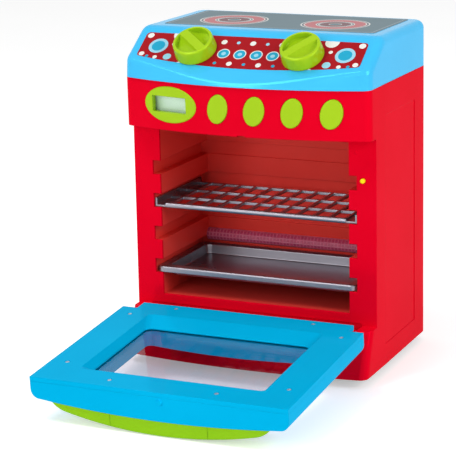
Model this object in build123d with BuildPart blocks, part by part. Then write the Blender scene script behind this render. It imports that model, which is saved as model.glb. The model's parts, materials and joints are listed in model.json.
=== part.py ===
from build123d import *
from math import cos, radians, sin, sqrt
import os

# Toy oven with an opening door, a rack, a tray, two knobs and four push buttons.
# Millimetres. X runs across the front, Y from the door frame to the back, and Z
# up from the floor. The door is modelled open, as it stands on display.

# ---- Driving dimensions ----------------------------------------------------

# Body
body_width = 270.0
body_depth = 159.3          # from the door frame to the back
side_draft = 1.5            # how far each side comes in from the seam to the back
seam_y = 26.0               # joint between the front housing and the rear cover
wall = 2.5
foot_height = 10.0
plinth_height = 46.3
recess_height = 195.0       # clear height for the closed door
fascia_height = 51.0
cap_height = 48.0
front_corner_radius = 9.0
rear_corner_radius = 14.0
cap_corner_radius = 12.0

# Gaps
seat_gap = 0.1              # between fixed pieces
running_gap = 0.3           # between pieces that move
swing_gap = 0.75            # round the door as it swings

# Bowed fronts: y at the corners, and y on the centre line
plinth_foot_bow = (-32.0, -43.0)
plinth_waist_bow = (-20.0, -34.0)
plinth_top_bow = (-15.0, -24.5)
fascia_foot_bow = (-15.0, -35.5)
fascia_top_bow = (-15.5, -40.0)
cap_foot_bow = (-17.0, -42.0)
cap_brow_bow = (-17.0, -26.8)

# Cap and its sloped panel
slope_angle = 35.1
crest_y = 23.6              # where the panel's plane meets the hob's
cap_brow_height = 21.7
cap_edge_radius = 8.0
crest_radius = 20.0
label_thickness = 0.3
hob_label_width = 235.0
hob_label_front = 41.0
hob_label_rear = 147.8
hob_label_radius = 4.0
panel_label_width = 245.0
panel_label_top = 10.5      # down the slope from the crest line
panel_label_end = 44.6      # its lower edge at the sides
panel_label_dip = 56.1      # its lower edge on the centre line
panel_label_radius = 4.0

# Cavity
cavity_width = 211.0
cavity_floor_rise = 12.2    # above the top of the plinth
cavity_roof_drop = 5.3      # below the fascia
cavity_depth = 112.4
cavity_wall = 2.0
slot_span = 228.0           # across both shelf channels
slot_height = 14.8
slot_pitch = 35.3
slot_count = 4
lowest_slot_rise = 23.0     # first channel floor above the cavity floor
slot_band_depth = 1.5       # how deep the channels run on round the rear wall

# Door
hinge_y = -20.9
hinge_drop = 13.6           # hinge axis below the top of the plinth
open_tilt = 4.91            # how far the open door slopes below level
seal_gap = 0.3              # between the closed door and its frame
door_side_gap = 0.4
door_edge = -0.6            # outer face at the sides, measured from the hinge axis
door_crown = -8.6           # outer face on the centre line
door_rim_radius = 9.0
door_parting = 16.0
door_wall = 2.5
tab_half_width = 118.0
tab_thickness = 5.2
tab_reach = 1.6             # the tab's edge past the hinge axis
arm_inner = 95.0
arm_outer = 105.0
knuckle_radius = 5.0
pin_radius = 2.0
pin_gap = 0.05
window_width = 181.0
window_near = -47.0
window_far = -166.0
window_radius = 7.0
window_depth = 6.6          # from the inner face down to the pane
funnel_side = 7.0
funnel_near = 20.0
funnel_far = 9.0
pane_thickness = 1.8
pane_margin = 5.0
nub_radius = 3.2
nub_x = 4.0
nub_height = 1.6
nub_channel_depth = 1.2

# Handle
handle_half_span = 115.0
handle_shoulder = 100.0
handle_crown = -24.7
handle_bow_radius = 426.0
handle_length = 28.8
handle_setback = 1.4        # below the door's free edge
handle_wall = 2.5
handle_rib_x = 51.0
handle_seam_width = 0.5
handle_seam_depth = 0.4

# Fascia
control_level = 27.2        # centre of buttons and display above the fascia's foot
bezel_x = -76.6
bezel_width = 63.0
bezel_height = 38.0
bezel_stand = 0.5
display_x = -78.0
display_width = 41.0
display_height = 16.5
display_depth = 5.5
button_centres = (-20.6, 19.2, 58.6, 98.0)
button_names = ("left", "mid_left", "mid_right", "right")
button_width = 22.0
button_height = 31.0
button_tilt = 15.0
button_stand = 1.0
button_travel = 1.2
button_flange = 2.0

# Knobs
knob_spacing = 118.0
knob_drop = 33.1            # down the slope from the crest line
knob_radius = 22.0
knob_height = 14.0
knob_grip_width = 9.0
knob_stem_radius = 5.0
knob_stem_length = 13.0
knob_turns = (-38.0, 48.0)  # how far each grip is turned from level

# Rack and tray
shelf_side_gap = 0.8
rack_level = 3              # channel counted from the lowest, as 1
rack_depth = 109.5
rack_rod_radius = 2.8
rack_rod_half = 101.6
rail_height = 9.1
rail_thickness = 2.0
rack_bar_count = 12
rack_cross_count = 4
tray_level = 1
tray_depth = 112.0
tray_rim_height = 6.2
tray_sink = 10.0
tray_border = 9.0
tray_skin = 1.5
shelf_setback = 0.6         # behind the door frame

# Door switch
plunger_x = 120.8
plunger_z = 207.9
plunger_radius = 2.6
plunger_stand = 3.0

# ---- Places worked out from them -------------------------------------------

half_width = body_width / 2
base_z = foot_height
plinth_top_z = base_z + plinth_height
fascia_z = plinth_top_z + recess_height
parting_z = fascia_z + fascia_height
hob_z = parting_z + cap_height
brow_z = parting_z + cap_brow_height

slope_sin = sin(radians(slope_angle))
slope_cos = cos(radians(slope_angle))

hinge_z = plinth_top_z - hinge_drop
inner_face = -hinge_y - seal_gap
door_heel = -(hinge_drop + swing_gap)
door_toe = -sqrt((fascia_z - seal_gap - hinge_z) ** 2 - inner_face**2)
door_half_width = half_width - door_side_gap

cavity_floor_z = plinth_top_z + cavity_floor_rise
cavity_roof_z = fascia_z - cavity_roof_drop
slot_floors = [cavity_floor_z + lowest_slot_rise + k * slot_pitch for k in range(slot_count)]
cavity_rear_y = wall + seat_gap + cavity_depth

control_z = fascia_z + control_level


def along(bows, share):
    """A bow between two others."""
    low, high = bows
    return tuple(a + (b - a) * share for a, b in zip(low, high))


def at_y(y):
    """Plane across the body that faces the front."""
    return Plane.XZ.offset(-y)


def at_x(x):
    """Plane that faces the right side, with Y and Z as its own axes."""
    return Plane.YZ.offset(x)


def side_x(y):
    """Half width of the body at a depth, with the rear cover's draft."""
    share = max(0.0, (y - seam_y) / (body_depth - seam_y))
    return half_width - side_draft * share


# ---- Shared forms ----------------------------------------------------------


def bowed_plan(level, bow, back_y, corner_radius, inset):
    """Level section: straight sides and back, an arched front, rounded front corners."""
    corner_y = bow[0] + inset
    half = half_width - inset
    with BuildSketch(Plane.XY.offset(level)) as plan:
        with BuildLine():
            Polyline((-half, corner_y), (-half, back_y), (half, back_y), (half, corner_y))
            ThreePointArc((half, corner_y), (0, bow[1] + inset), (-half, corner_y))
        make_face()
        fillet(plan.vertices().group_by(Axis.Y)[0], corner_radius - inset)
    return plan.sketch


def bowed_solid(levels, back_y, corner_radius, inset):
    """Solid through several bowed sections, straight between them."""
    with BuildPart() as solid:
        loft(
            sections=[bowed_plan(z, bow, back_y, corner_radius, inset) for z, bow in levels],
            ruled=True,
        )
    return solid.part


def fascia_form(inset):
    """The fascia's outer form, moved inwards by the inset."""
    levels = [(fascia_z, fascia_foot_bow), (parting_z, fascia_top_bow)]
    return bowed_solid(levels, seam_y, front_corner_radius, inset)


def fascia_layer(outer_inset, inner_inset):
    """Skin of the fascia between two insets, as deep as the housing."""
    with BuildPart() as layer:
        add(fascia_form(outer_inset))
        add(fascia_form(inner_inset), mode=Mode.SUBTRACT)
        with BuildSketch(at_y(seam_y)):
            with Locations((0, (fascia_z + parting_z) / 2)):
                Rectangle(2 * body_width, 2 * fascia_height)
        extrude(amount=seam_y + 12.0, mode=Mode.SUBTRACT)
    return layer.part


def oval_prism(x, z, width, height, tilt=0.0):
    """Upright oval bar through the fascia, its top leaning right by the tilt."""
    with BuildPart() as bar:
        with BuildSketch(at_y(0)):
            with Locations((x, z)):
                Ellipse(width / 2, height / 2, rotation=-tilt)
        extrude(amount=60)
    return bar.part


def box_prism(x, z, width, height, reach=60.0):
    """Upright rectangular bar through the fascia."""
    with BuildPart() as bar:
        with BuildSketch(at_y(0)):
            with Locations((x, z)):
                Rectangle(width, height)
        extrude(amount=reach)
    return bar.part


def cavity_profile(y, grow):
    """Front view of the cavity: the chamber and its shelf channels."""
    with BuildSketch(at_y(y)) as profile:
        with Locations((0, (cavity_floor_z + cavity_roof_z) / 2)):
            Rectangle(cavity_width + 2 * grow, cavity_roof_z - cavity_floor_z + 2 * grow)
        with Locations(*[(0, floor + slot_height / 2) for floor in slot_floors]):
            Rectangle(slot_span + 2 * grow, slot_height + 2 * grow)
    return profile.sketch


def bar_y(x, z, radius, y_from, y_to):
    """Round bar along Y."""
    with BuildPart() as bar:
        with BuildSketch(at_y(y_to)):
            with Locations((x, z)):
                Circle(radius)
        extrude(amount=y_to - y_from)
    return bar.part


def bar_z(x, y, radius, z_from, z_to):
    """Round bar along Z."""
    with BuildPart() as bar:
        with BuildSketch(Plane.XY.offset(z_from)):
            with Locations((x, y)):
                Circle(radius)
        extrude(amount=z_to - z_from)
    return bar.part


def bar_x(y, z, radius, x_from, x_to):
    """Round bar along X."""
    with BuildPart() as bar:
        with BuildSketch(at_x(x_from)):
            with Locations((y, z)):
                Circle(radius)
        extrude(amount=x_to - x_from)
    return bar.part


def block(x_range, y_range, z_range):
    """Plain block between three pairs of limits."""
    with BuildPart() as solid:
        with BuildSketch(Plane.XY.offset(z_range[0])):
            with Locations(((x_range[0] + x_range[1]) / 2, (y_range[0] + y_range[1]) / 2)):
                Rectangle(x_range[1] - x_range[0], y_range[1] - y_range[0])
        extrude(amount=z_range[1] - z_range[0])
    return solid.part


screw_radius = 1.5
screw_head_radius = 3.0
screw_head_height = 2.0
bore_radius = screw_radius + 0.05


def screw(plane, length):
    """Pan-head screw: its head stands on the plane, its shank runs back from it."""
    with BuildPart() as fastener:
        with BuildSketch(plane):
            Circle(screw_head_radius)
        extrude(amount=screw_head_height, taper=12)
        with BuildSketch(plane):
            Circle(screw_radius)
        extrude(amount=-length)
    return fastener.part


os.makedirs("parts", exist_ok=True)
pieces = {}

# ---- Front housing ---------------------------------------------------------

# Ledges and posts that hold the cap and the base plate
ledge_thickness = 3.0
ledge_inner_x = 104.0
ledge_width = 16.0
ledge_front_y = 0.0
ledge_rear_y = body_depth - wall - ledge_width - 9.0
cap_post_x = 113.0
cap_post_radius = 4.0
cap_screw_length = 10.0
base_post_radius = 4.0
base_post_front = (half_width - wall - 6.5, -5.0)
base_post_rear = (half_width - side_draft - wall - 9.0, body_depth - wall - 17.0)
base_screw_length = 10.0

# Posts that take the long screws from the rear cover
post_x = half_width - wall - 8.0
post_levels = (base_z + 24.0, 150.0, parting_z - 14.0)
post_radius = 4.5
post_tip_y = 14.0
post_bore_depth = 12.0

# Posts that carry the button board
board_y = -12.0
board_post_x = [(a + b) / 2 for a, b in zip(button_centres[:-1], button_centres[1:])]
board_post_radius = 3.2
board_screw_length = 7.0

# Posts that carry the cavity
cavity_post_x = 95.0
cavity_post_radius = 3.5
cavity_screw_length = 8.0
cavity_post_levels = (cavity_floor_z - cavity_wall - 5.0, cavity_roof_z + cavity_wall + 5.0)
cavity_post_y = 14.0

# Door switch behind the frame
plunger_travel = plunger_stand - 0.1
plunger_flange = 1.2
plunger_rear_y = 10.0
switch_button = 1.0
switch_front_y = plunger_rear_y + plunger_travel + running_gap + switch_button
switch_body_y = (switch_front_y, switch_front_y + 8.0)
switch_body_x = (plunger_x - 4.0, plunger_x + 8.0)
switch_body_height = 8.0
switch_shelf_z = plunger_z - switch_body_height / 2
switch_shelf_thickness = 2.0

# Small pips on the frame, near the top corners of the door
pip_x = 113.5
pip_z = 235.9
pip_radius = 1.5
pip_height = 0.2

# Plinth pocket that clears the door's rear tab and its arms
barrel_radius = inner_face - tab_thickness - running_gap
barrel_wall = 2.0
pocket_front_y = hinge_y + inner_face - tab_thickness - running_gap
pocket_rear_y = 0.5
pocket_floor_z = hinge_z - tab_reach - swing_gap
pocket_half_width = tab_half_width + swing_gap
arm_slot_inner = arm_inner - running_gap
arm_slot_outer = arm_outer + running_gap
arm_clearance_radius = inner_face + running_gap
pin_rib = 3.0

plinth_levels = [
    (base_z, plinth_foot_bow),
    (hinge_z, plinth_waist_bow),
    (plinth_top_z, plinth_top_bow),
]
ceiling_share = (hinge_drop - wall) / hinge_drop
plinth_room_levels = [
    (base_z, plinth_foot_bow),
    (hinge_z, plinth_waist_bow),
    (plinth_top_z - wall, along((plinth_waist_bow, plinth_top_bow), ceiling_share)),
]

plinth_outer = bowed_solid(plinth_levels, seam_y, front_corner_radius, 0)
plinth_room = bowed_solid(plinth_room_levels, seam_y, front_corner_radius, wall)
fascia_outer = fascia_form(0)
fascia_floor = (fascia_z - 1, fascia_z + wall)

with BuildPart() as pocket_wall:
    with BuildSketch(at_x(-pocket_half_width - barrel_wall)):
        with BuildLine():
            low = pocket_floor_z - barrel_wall
            Polyline(
                (hinge_y, hinge_z),
                (hinge_y, plinth_top_z - wall / 2),
                (pocket_rear_y + wall, plinth_top_z - wall / 2),
                (pocket_rear_y + wall, low),
                (pocket_front_y - barrel_wall, low),
                (pocket_front_y - barrel_wall, hinge_z),
                close=True,
            )
        make_face()
        with Locations((hinge_y, hinge_z)):
            Circle(barrel_radius - barrel_wall, mode=Mode.SUBTRACT)
    extrude(amount=2 * (pocket_half_width + barrel_wall))

with BuildPart() as pocket_space:
    with BuildSketch(at_x(-pocket_half_width)):
        with BuildLine():
            Polyline(
                (hinge_y, hinge_z + barrel_radius),
                (hinge_y, plinth_top_z + wall),
                (pocket_rear_y, plinth_top_z + wall),
                (pocket_rear_y, pocket_floor_z),
                (pocket_front_y, pocket_floor_z),
                (pocket_front_y, hinge_z),
                (hinge_y, hinge_z),
                close=True,
            )
        make_face()
        with Locations((hinge_y, hinge_z)):
            Circle(barrel_radius, mode=Mode.SUBTRACT)
    extrude(amount=2 * pocket_half_width)


def arm_space(side):
    """Quarter disc that an arm sweeps, with the round of its knuckle."""
    start = arm_slot_inner if side > 0 else -arm_slot_outer
    with BuildPart() as space:
        with BuildSketch(at_x(start)):
            with Locations((hinge_y, hinge_z)):
                Circle(arm_clearance_radius)
                with Locations((-arm_clearance_radius, 0), (0, -arm_clearance_radius)):
                    Rectangle(
                        2 * arm_clearance_radius,
                        2 * arm_clearance_radius,
                        mode=Mode.SUBTRACT,
                    )
                Rectangle(
                    2 * (knuckle_radius + swing_gap),
                    arm_clearance_radius,
                    align=(Align.CENTER, Align.MIN),
                )
                Rectangle(
                    arm_clearance_radius,
                    2 * knuckle_radius,
                    align=(Align.MIN, Align.CENTER),
                )
                Circle(knuckle_radius + running_gap)
        extrude(amount=arm_slot_outer - arm_slot_inner)
    return space.part


# Solids left standing in the hollow housing: posts and the ribs that hold the pins
with BuildPart() as housing_ribs:
    for side in (-1, 1):
        for level in post_levels:
            add(bar_y(side * post_x, level, post_radius, -60.0, seam_y - seat_gap))
        for centre in (arm_slot_inner - pin_rib / 2, arm_slot_outer + pin_rib / 2):
            rib_x = (side * centre - pin_rib / 2, side * centre + pin_rib / 2)
            add(block(rib_x, (hinge_y - 9, hinge_y + 9), (hinge_z - 7, plinth_top_z)))
        for level in cavity_post_levels:
            add(bar_y(side * cavity_post_x, level, cavity_post_radius, -60.0, cavity_post_y))
        ledge_x = sorted((side * ledge_inner_x, side * half_width))
        ledge_y = (ledge_front_y, ledge_front_y + ledge_width)
        add(block(ledge_x, ledge_y, (parting_z - ledge_thickness, parting_z)))
        x, y = base_post_front
        add(bar_z(side * x, y, base_post_radius, base_z + wall + seat_gap, plinth_top_z))
    for x in board_post_x:
        add(bar_y(x, control_z, board_post_radius, -60.0, board_y - seat_gap))
    shelf_z = (switch_shelf_z - switch_shelf_thickness, switch_shelf_z)
    add(block((switch_body_x[0], half_width), (0, switch_body_y[1]), shelf_z))
    add(pocket_wall.part)

with BuildPart() as housing_room:
    add(fascia_form(wall))
    add(block((-body_width, body_width), (-body_depth, seam_y), fascia_floor), mode=Mode.SUBTRACT)
    add(plinth_room)
    room_x = half_width - wall
    add(block((-room_x, room_x), (wall, seam_y), (plinth_top_z - 2 * wall, fascia_z + 2 * wall)))
    add(housing_ribs.part, mode=Mode.SUBTRACT)

with BuildPart() as housing_holes:
    extrude(cavity_profile(wall, 0), amount=wall)
    add(pocket_space.part)
    for side in (-1, 1):
        add(arm_space(side))
        pin_reach = (arm_slot_inner - pin_rib, arm_slot_outer + pin_rib)
        add(bar_x(hinge_y, hinge_z, pin_radius + pin_gap, *sorted(side * x for x in pin_reach)))
        for level in post_levels:
            add(bar_y(side * post_x, level, bore_radius, seam_y - post_bore_depth, seam_y))
        for level in cavity_post_levels:
            bore = (cavity_post_y - cavity_screw_length - 1.0, cavity_post_y)
            add(bar_y(side * cavity_post_x, level, bore_radius, *bore))
        ledge_mid = ledge_front_y + ledge_width / 2
        add(bar_z(side * cap_post_x, ledge_mid, bore_radius, parting_z - 2 * wall, parting_z))
        x, y = base_post_front
        add(bar_z(side * x, y, bore_radius, base_z, base_z + wall + base_screw_length))
    for x in board_post_x:
        add(bar_y(x, control_z, bore_radius, board_y - board_screw_length, board_y))
    # Control openings
    add(oval_prism(bezel_x, control_z, bezel_width + 2 * seat_gap, bezel_height + 2 * seat_gap))
    for x in button_centres:
        hole = (button_width + 2 * running_gap, button_height + 2 * running_gap)
        add(oval_prism(x, control_z, *hole, button_tilt))
    # Door switch plunger
    add(bar_y(plunger_x, plunger_z, plunger_radius + running_gap, 0, wall))
    # Channel under the fascia for the door's latch nub
    nub_x_range = (nub_x - nub_radius - 1, nub_x + nub_radius + 1)
    add(block(nub_x_range, (-60.0, -wall), (fascia_z - 1, fascia_z + nub_channel_depth)))

with BuildPart() as front_housing:
    add(plinth_outer)
    add(block((-half_width, half_width), (0, seam_y), (plinth_top_z, fascia_z)))
    add(fascia_outer)
    add(housing_room.part, mode=Mode.SUBTRACT)
    add(housing_holes.part, mode=Mode.SUBTRACT)
    for side in (-1, 1):
        add(bar_y(side * pip_x, pip_z, pip_radius, -pip_height, wall / 2))

pieces["front_housing"] = front_housing

# ---- Rear cover ------------------------------------------------------------

tube_radius = 5.5
tube_floor = 3.0
tube_bore = screw_head_radius + 0.4
housing_screw_length = 13.0
inner_rear_y = body_depth - wall

# Battery bay, in the middle of the lower back
battery_radius = 7.25
battery_length = 50.5
battery_pitch = 15.6
battery_count = 3
bay_centre_z = 54.0
bay_width = battery_length + 14.0
bay_height = battery_count * battery_pitch + 1.0
bay_depth = 2 * battery_radius + 2.5
bay_wall = 2.0
hatch_margin = 1.4
hatch_ear = 9.0
hatch_gap = 0.2

# Speaker, main board and power switch
speaker_x = 72.0
speaker_z = 190.0
speaker_radius = 20.0
grille_rings = ((0, 1), (6.0, 6), (12.0, 12))
grille_hole = 1.6
main_board_x = (-72.0, 20.0)
main_board_z = (118.0, 204.0)
board_thickness = 1.6
main_board_y = 130.0
board_inset = 5.0
switch_x = -82.0
switch_z = 54.0
switch_travel = 2.0
slider_width = 5.0
slider_height = 4.4
side_panel_y = (seam_y, 118.0)
side_panel_z = (32.0, 270.9)
side_panel_depth = 0.6

main_board_posts = [
    (x, z)
    for x in (main_board_x[0] + board_inset, main_board_x[1] - board_inset)
    for z in (main_board_z[0] + board_inset, main_board_z[1] - board_inset)
]


def rear_form(inset):
    """The rear cover's drafted box, moved inwards by the inset and open in front."""
    front_half = half_width - inset
    rear_half = half_width - side_draft - inset
    height = parting_z - base_z
    middle = (0, (parting_z + base_z) / 2)
    with BuildPart() as form:
        with BuildSketch(at_y(seam_y)):
            with Locations(middle):
                Rectangle(2 * front_half, height)
        with BuildSketch(at_y(body_depth - inset)):
            with Locations(middle):
                Rectangle(2 * rear_half, height)
        loft(ruled=True)
        rear_edges = form.edges().filter_by(Axis.Z).group_by(Axis.Y)[-1]
        fillet(rear_edges, rear_corner_radius - inset)
    return form.part


def side_panel(side):
    """Shallow panel sunk in a side of the rear cover."""
    near, far = side_panel_y
    with BuildPart() as panel:
        with BuildSketch(Plane.XY.offset(side_panel_z[0])):
            with BuildLine():
                Polyline(
                    (side * (side_x(near) - side_panel_depth), near),
                    (side * (side_x(near) + wall), near),
                    (side * (side_x(far) + wall), far),
                    (side * (side_x(far) - side_panel_depth), far),
                    close=True,
                )
            make_face()
        extrude(amount=side_panel_z[1] - side_panel_z[0])
    return panel.part


bay_low_z = bay_centre_z - bay_height / 2
bay_high_z = bay_centre_z + bay_height / 2
hatch_half = bay_width / 2 + hatch_margin
hatch_z = (bay_low_z - hatch_margin, bay_high_z + hatch_ear)

with BuildPart() as cover_ribs:
    for side in (-1, 1):
        for level in post_levels:
            add(bar_y(side * post_x, level, tube_radius, seam_y, body_depth))
        ledge_x = sorted((side * ledge_inner_x, side * half_width))
        ledge_z = (parting_z - ledge_thickness, parting_z)
        add(block(ledge_x, (ledge_rear_y, ledge_rear_y + ledge_width), ledge_z))
        x, y = base_post_rear
        add(bar_z(side * x, y, base_post_radius, base_z + wall + seat_gap, base_z + 30))
        web_x = sorted((side * x, side * half_width))
        add(block(web_x, (y - 1, y + 1), (base_z + wall + seat_gap, base_z + 30)))
    for x, z in main_board_posts:
        post_front = main_board_y + board_thickness + seat_gap
        add(bar_y(x, z, board_post_radius, post_front, body_depth))

with BuildPart() as cover_room:
    add(rear_form(wall))
    add(cover_ribs.part, mode=Mode.SUBTRACT)

with BuildPart() as cover_holes:
    for side in (-1, 1):
        for level in post_levels:
            add(bar_y(side * post_x, level, bore_radius, seam_y, body_depth))
            add(bar_y(side * post_x, level, tube_bore, seam_y + tube_floor, body_depth))
        ledge_mid = ledge_rear_y + ledge_width / 2
        add(bar_z(side * cap_post_x, ledge_mid, bore_radius, parting_z - 6, parting_z))
        x, y = base_post_rear
        bore_top = base_z + wall + base_screw_length
        add(bar_z(side * x, y, bore_radius, base_z, bore_top))
        add(side_panel(side))
    for x, z in main_board_posts:
        post_front = main_board_y + board_thickness + seat_gap
        add(bar_y(x, z, bore_radius, post_front, post_front + board_screw_length))
    hatch_room = (-hatch_half - hatch_gap, hatch_half + hatch_gap)
    hatch_room_z = (hatch_z[0] - hatch_gap, hatch_z[1] + hatch_gap)
    add(block(hatch_room, (inner_rear_y - 1, body_depth), hatch_room_z))
    # Speaker grille
    for ring_radius, holes in grille_rings:
        with BuildSketch(at_y(body_depth)):
            with Locations((speaker_x, speaker_z)):
                if ring_radius:
                    with PolarLocations(ring_radius, holes):
                        Circle(grille_hole)
                else:
                    Circle(grille_hole)
        extrude(amount=wall + 1)
    # Slot for the power slider
    slot_half = slider_width / 2 + switch_travel + running_gap
    slot_z = (switch_z - slider_height / 2 - running_gap, switch_z + slider_height / 2 + running_gap)
    add(block((switch_x - slot_half, switch_x + slot_half), (inner_rear_y - 1, body_depth), slot_z))

with BuildPart() as rear_cover:
    add(rear_form(0))
    add(cover_room.part, mode=Mode.SUBTRACT)
    add(cover_holes.part, mode=Mode.SUBTRACT)

pieces["rear_cover"] = rear_cover

# ---- Battery box and what it holds -----------------------------------------

box_rear_y = inner_rear_y - seat_gap
box_front_y = box_rear_y - bay_depth - bay_wall
battery_y = box_rear_y - 1.0 - battery_radius
battery_levels = [bay_centre_z + (k - 1) * battery_pitch for k in range(battery_count)]
hatch_screw_z = bay_high_z + hatch_ear / 2

with BuildPart() as battery_box:
    outer_half = bay_width / 2 + bay_wall
    outer_z = (bay_low_z - bay_wall, bay_high_z + hatch_ear + bay_wall)
    add(block((-outer_half, outer_half), (box_front_y, box_rear_y), outer_z))
    bay_half = bay_width / 2
    bay_y = (box_rear_y - bay_depth, box_rear_y)
    add(block((-bay_half, bay_half), bay_y, (bay_low_z, bay_high_z)), mode=Mode.SUBTRACT)
    # Lightening pockets beside the screw boss
    for side in (-1, 1):
        pocket = sorted((side * 6.0, side * (outer_half - bay_wall)))
        pocket_z = (bay_high_z + bay_wall, outer_z[1] - bay_wall)
        add(block(pocket, (box_front_y, box_rear_y - bay_wall), pocket_z), mode=Mode.SUBTRACT)
    add(bar_y(0, hatch_screw_z, bore_radius, box_rear_y - 10, box_rear_y), mode=Mode.SUBTRACT)

pieces["battery_box"] = battery_box

with BuildPart() as battery_door:
    add(block((-hatch_half, hatch_half), (inner_rear_y, body_depth), hatch_z))
    # Finger ribs
    with BuildSketch(at_y(body_depth - 0.8)):
        with Locations((0, bay_low_z + 7)):
            with GridLocations(0, 3.0, 1, 3):
                SlotOverall(26, 1.4)
    extrude(amount=-0.8, mode=Mode.SUBTRACT)
    add(bar_y(0, hatch_screw_z, bore_radius, inner_rear_y, body_depth), mode=Mode.SUBTRACT)
    head_room = screw_head_radius + seat_gap
    add(bar_y(0, hatch_screw_z, head_room, body_depth - 1.6, body_depth), mode=Mode.SUBTRACT)

pieces["battery_door"] = battery_door

with BuildPart() as batteries:
    for index, level in enumerate(battery_levels):
        flip = 1 if index % 2 else -1
        with BuildSketch(at_x(-flip * (battery_length / 2 - 1.0))):
            with Locations((battery_y, level)):
                Circle(battery_radius)
        extrude(amount=flip * (battery_length - 2.0))
        add(bar_x(battery_y, level, 2.6, *sorted((0, flip * battery_length / 2))))
        add(bar_x(battery_y, level, 4.5, *sorted((0, -flip * battery_length / 2))))

pieces["batteries"] = batteries

contact_size = 10.0
contact_thickness = 0.6
with BuildPart() as battery_contacts:
    for level in battery_levels:
        for side in (-1, 1):
            end = side * (bay_width / 2 - seat_gap)
            plate = sorted((end, end - side * contact_thickness))
            half = contact_size / 2
            add(block(plate, (battery_y - half, battery_y + half), (level - half, level + half)))
            tip = side * (battery_length / 2 + seat_gap)
            add(bar_x(battery_y, level, 3.0, *sorted((end, tip))))

pieces["battery_contacts"] = battery_contacts


def facing(point, direction):
    """Plane at a point, looking along a direction."""
    return Plane(origin=point, z_dir=direction)


with BuildPart() as battery_door_screw:
    add(screw(facing((0, body_depth - 1.6, hatch_screw_z), (0, 1, 0)), 9.0))

pieces["battery_door_screw"] = battery_door_screw

# ---- Oven cavity and its lamp ----------------------------------------------

lamp_z = cavity_floor_z + 38.5
lamp_radius = 7.0
lamp_skin = 1.5
lamp_slot_half = 74.0
lamp_slot_height = 10.0
lamp_post_x = 84.0
lamp_post_height = 1.8
lamp_post_radius = 3.0
lamp_board_height = 12.0
cavity_front_y = wall + seat_gap
cavity_back_y = cavity_rear_y + cavity_wall
ear_thickness = 2.0

with BuildPart() as oven_cavity:
    length = cavity_back_y - cavity_front_y
    extrude(cavity_profile(cavity_back_y, cavity_wall), amount=length)
    banded = [z for k, z in enumerate(slot_floors, start=1) if k != tray_level]
    for z in banded:
        reach = slot_span / 2 + cavity_wall
        band_y = (cavity_rear_y, cavity_back_y + slot_band_depth)
        add(block((-reach, reach), band_y, (z - cavity_wall, z + slot_height + cavity_wall)))
    # Ears for its screws
    for side in (-1, 1):
        for level in cavity_post_levels:
            ear_x = (side * cavity_post_x - 6, side * cavity_post_x + 6)
            ear_y = (cavity_post_y + seat_gap, cavity_post_y + seat_gap + ear_thickness)
            add(block(ear_x, ear_y, (level - 5.5, level + 5.5)))
        lamp_post_tip = cavity_back_y + lamp_post_height
        add(bar_y(side * lamp_post_x, lamp_z, lamp_post_radius, cavity_rear_y, lamp_post_tip))
    extrude(cavity_profile(cavity_rear_y, 0), amount=cavity_depth, mode=Mode.SUBTRACT)
    for z in banded:
        reach = slot_span / 2
        band = block(
            (-reach, reach),
            (cavity_rear_y - 1, cavity_rear_y + slot_band_depth),
            (z, z + slot_height),
        )
        add(band, mode=Mode.SUBTRACT)
    lamp_slot_z = (lamp_z - lamp_slot_height / 2, lamp_z + lamp_slot_height / 2)
    lamp_slot = block(
        (-lamp_slot_half, lamp_slot_half),
        (cavity_rear_y - 1, cavity_back_y + slot_band_depth),
        lamp_slot_z,
    )
    add(lamp_slot, mode=Mode.SUBTRACT)
    for side in (-1, 1):
        for level in cavity_post_levels:
            hole_y = (cavity_post_y, cavity_post_y + ear_thickness + seat_gap)
            hole = bar_y(side * cavity_post_x, level, bore_radius, *hole_y)
            add(hole, mode=Mode.SUBTRACT)
        bore = bar_y(side * lamp_post_x, lamp_z, bore_radius, cavity_back_y, lamp_post_tip)
        add(bore, mode=Mode.SUBTRACT)

pieces["oven_cavity"] = oven_cavity

with BuildPart() as heater_lens:
    lens_half = cavity_width / 2 - 2 * seat_gap
    lens_y = cavity_rear_y - seat_gap
    with BuildSketch(at_x(-lens_half)):
        with Locations((lens_y, lamp_z)):
            Circle(lamp_radius)
            Rectangle(
                2 * lamp_radius,
                2 * lamp_radius,
                align=(Align.MIN, Align.CENTER),
                mode=Mode.SUBTRACT,
            )
    extrude(amount=2 * lens_half)
    with BuildSketch(at_x(-lens_half + lamp_skin)):
        with Locations((lens_y, lamp_z)):
            Circle(lamp_radius - lamp_skin)
    extrude(amount=2 * (lens_half - lamp_skin), mode=Mode.SUBTRACT)

pieces["heater_lens"] = heater_lens

lamp_board_y = cavity_back_y + lamp_post_height + seat_gap
with BuildPart() as lamp_board:
    board_half = lamp_post_x + board_inset
    strip_y = (lamp_board_y, lamp_board_y + board_thickness)
    strip_z = (lamp_z - lamp_board_height / 2, lamp_z + lamp_board_height / 2)
    add(block((-board_half, board_half), strip_y, strip_z))
    for x in (-50.0, 0.0, 50.0):
        add(bar_y(x, lamp_z, 2.5, cavity_rear_y + 1.0, lamp_board_y))
    for side in (-1, 1):
        hole = bar_y(side * lamp_post_x, lamp_z, bore_radius, *strip_y)
        add(hole, mode=Mode.SUBTRACT)

pieces["lamp_board"] = lamp_board

# ---- Base plate and its skids ----------------------------------------------

skid_width = 14.0
skid_length = 200.0
skid_y = (0.0, 132.0)
skid_edge = 1.2
base_side_gap = 1.2


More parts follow.
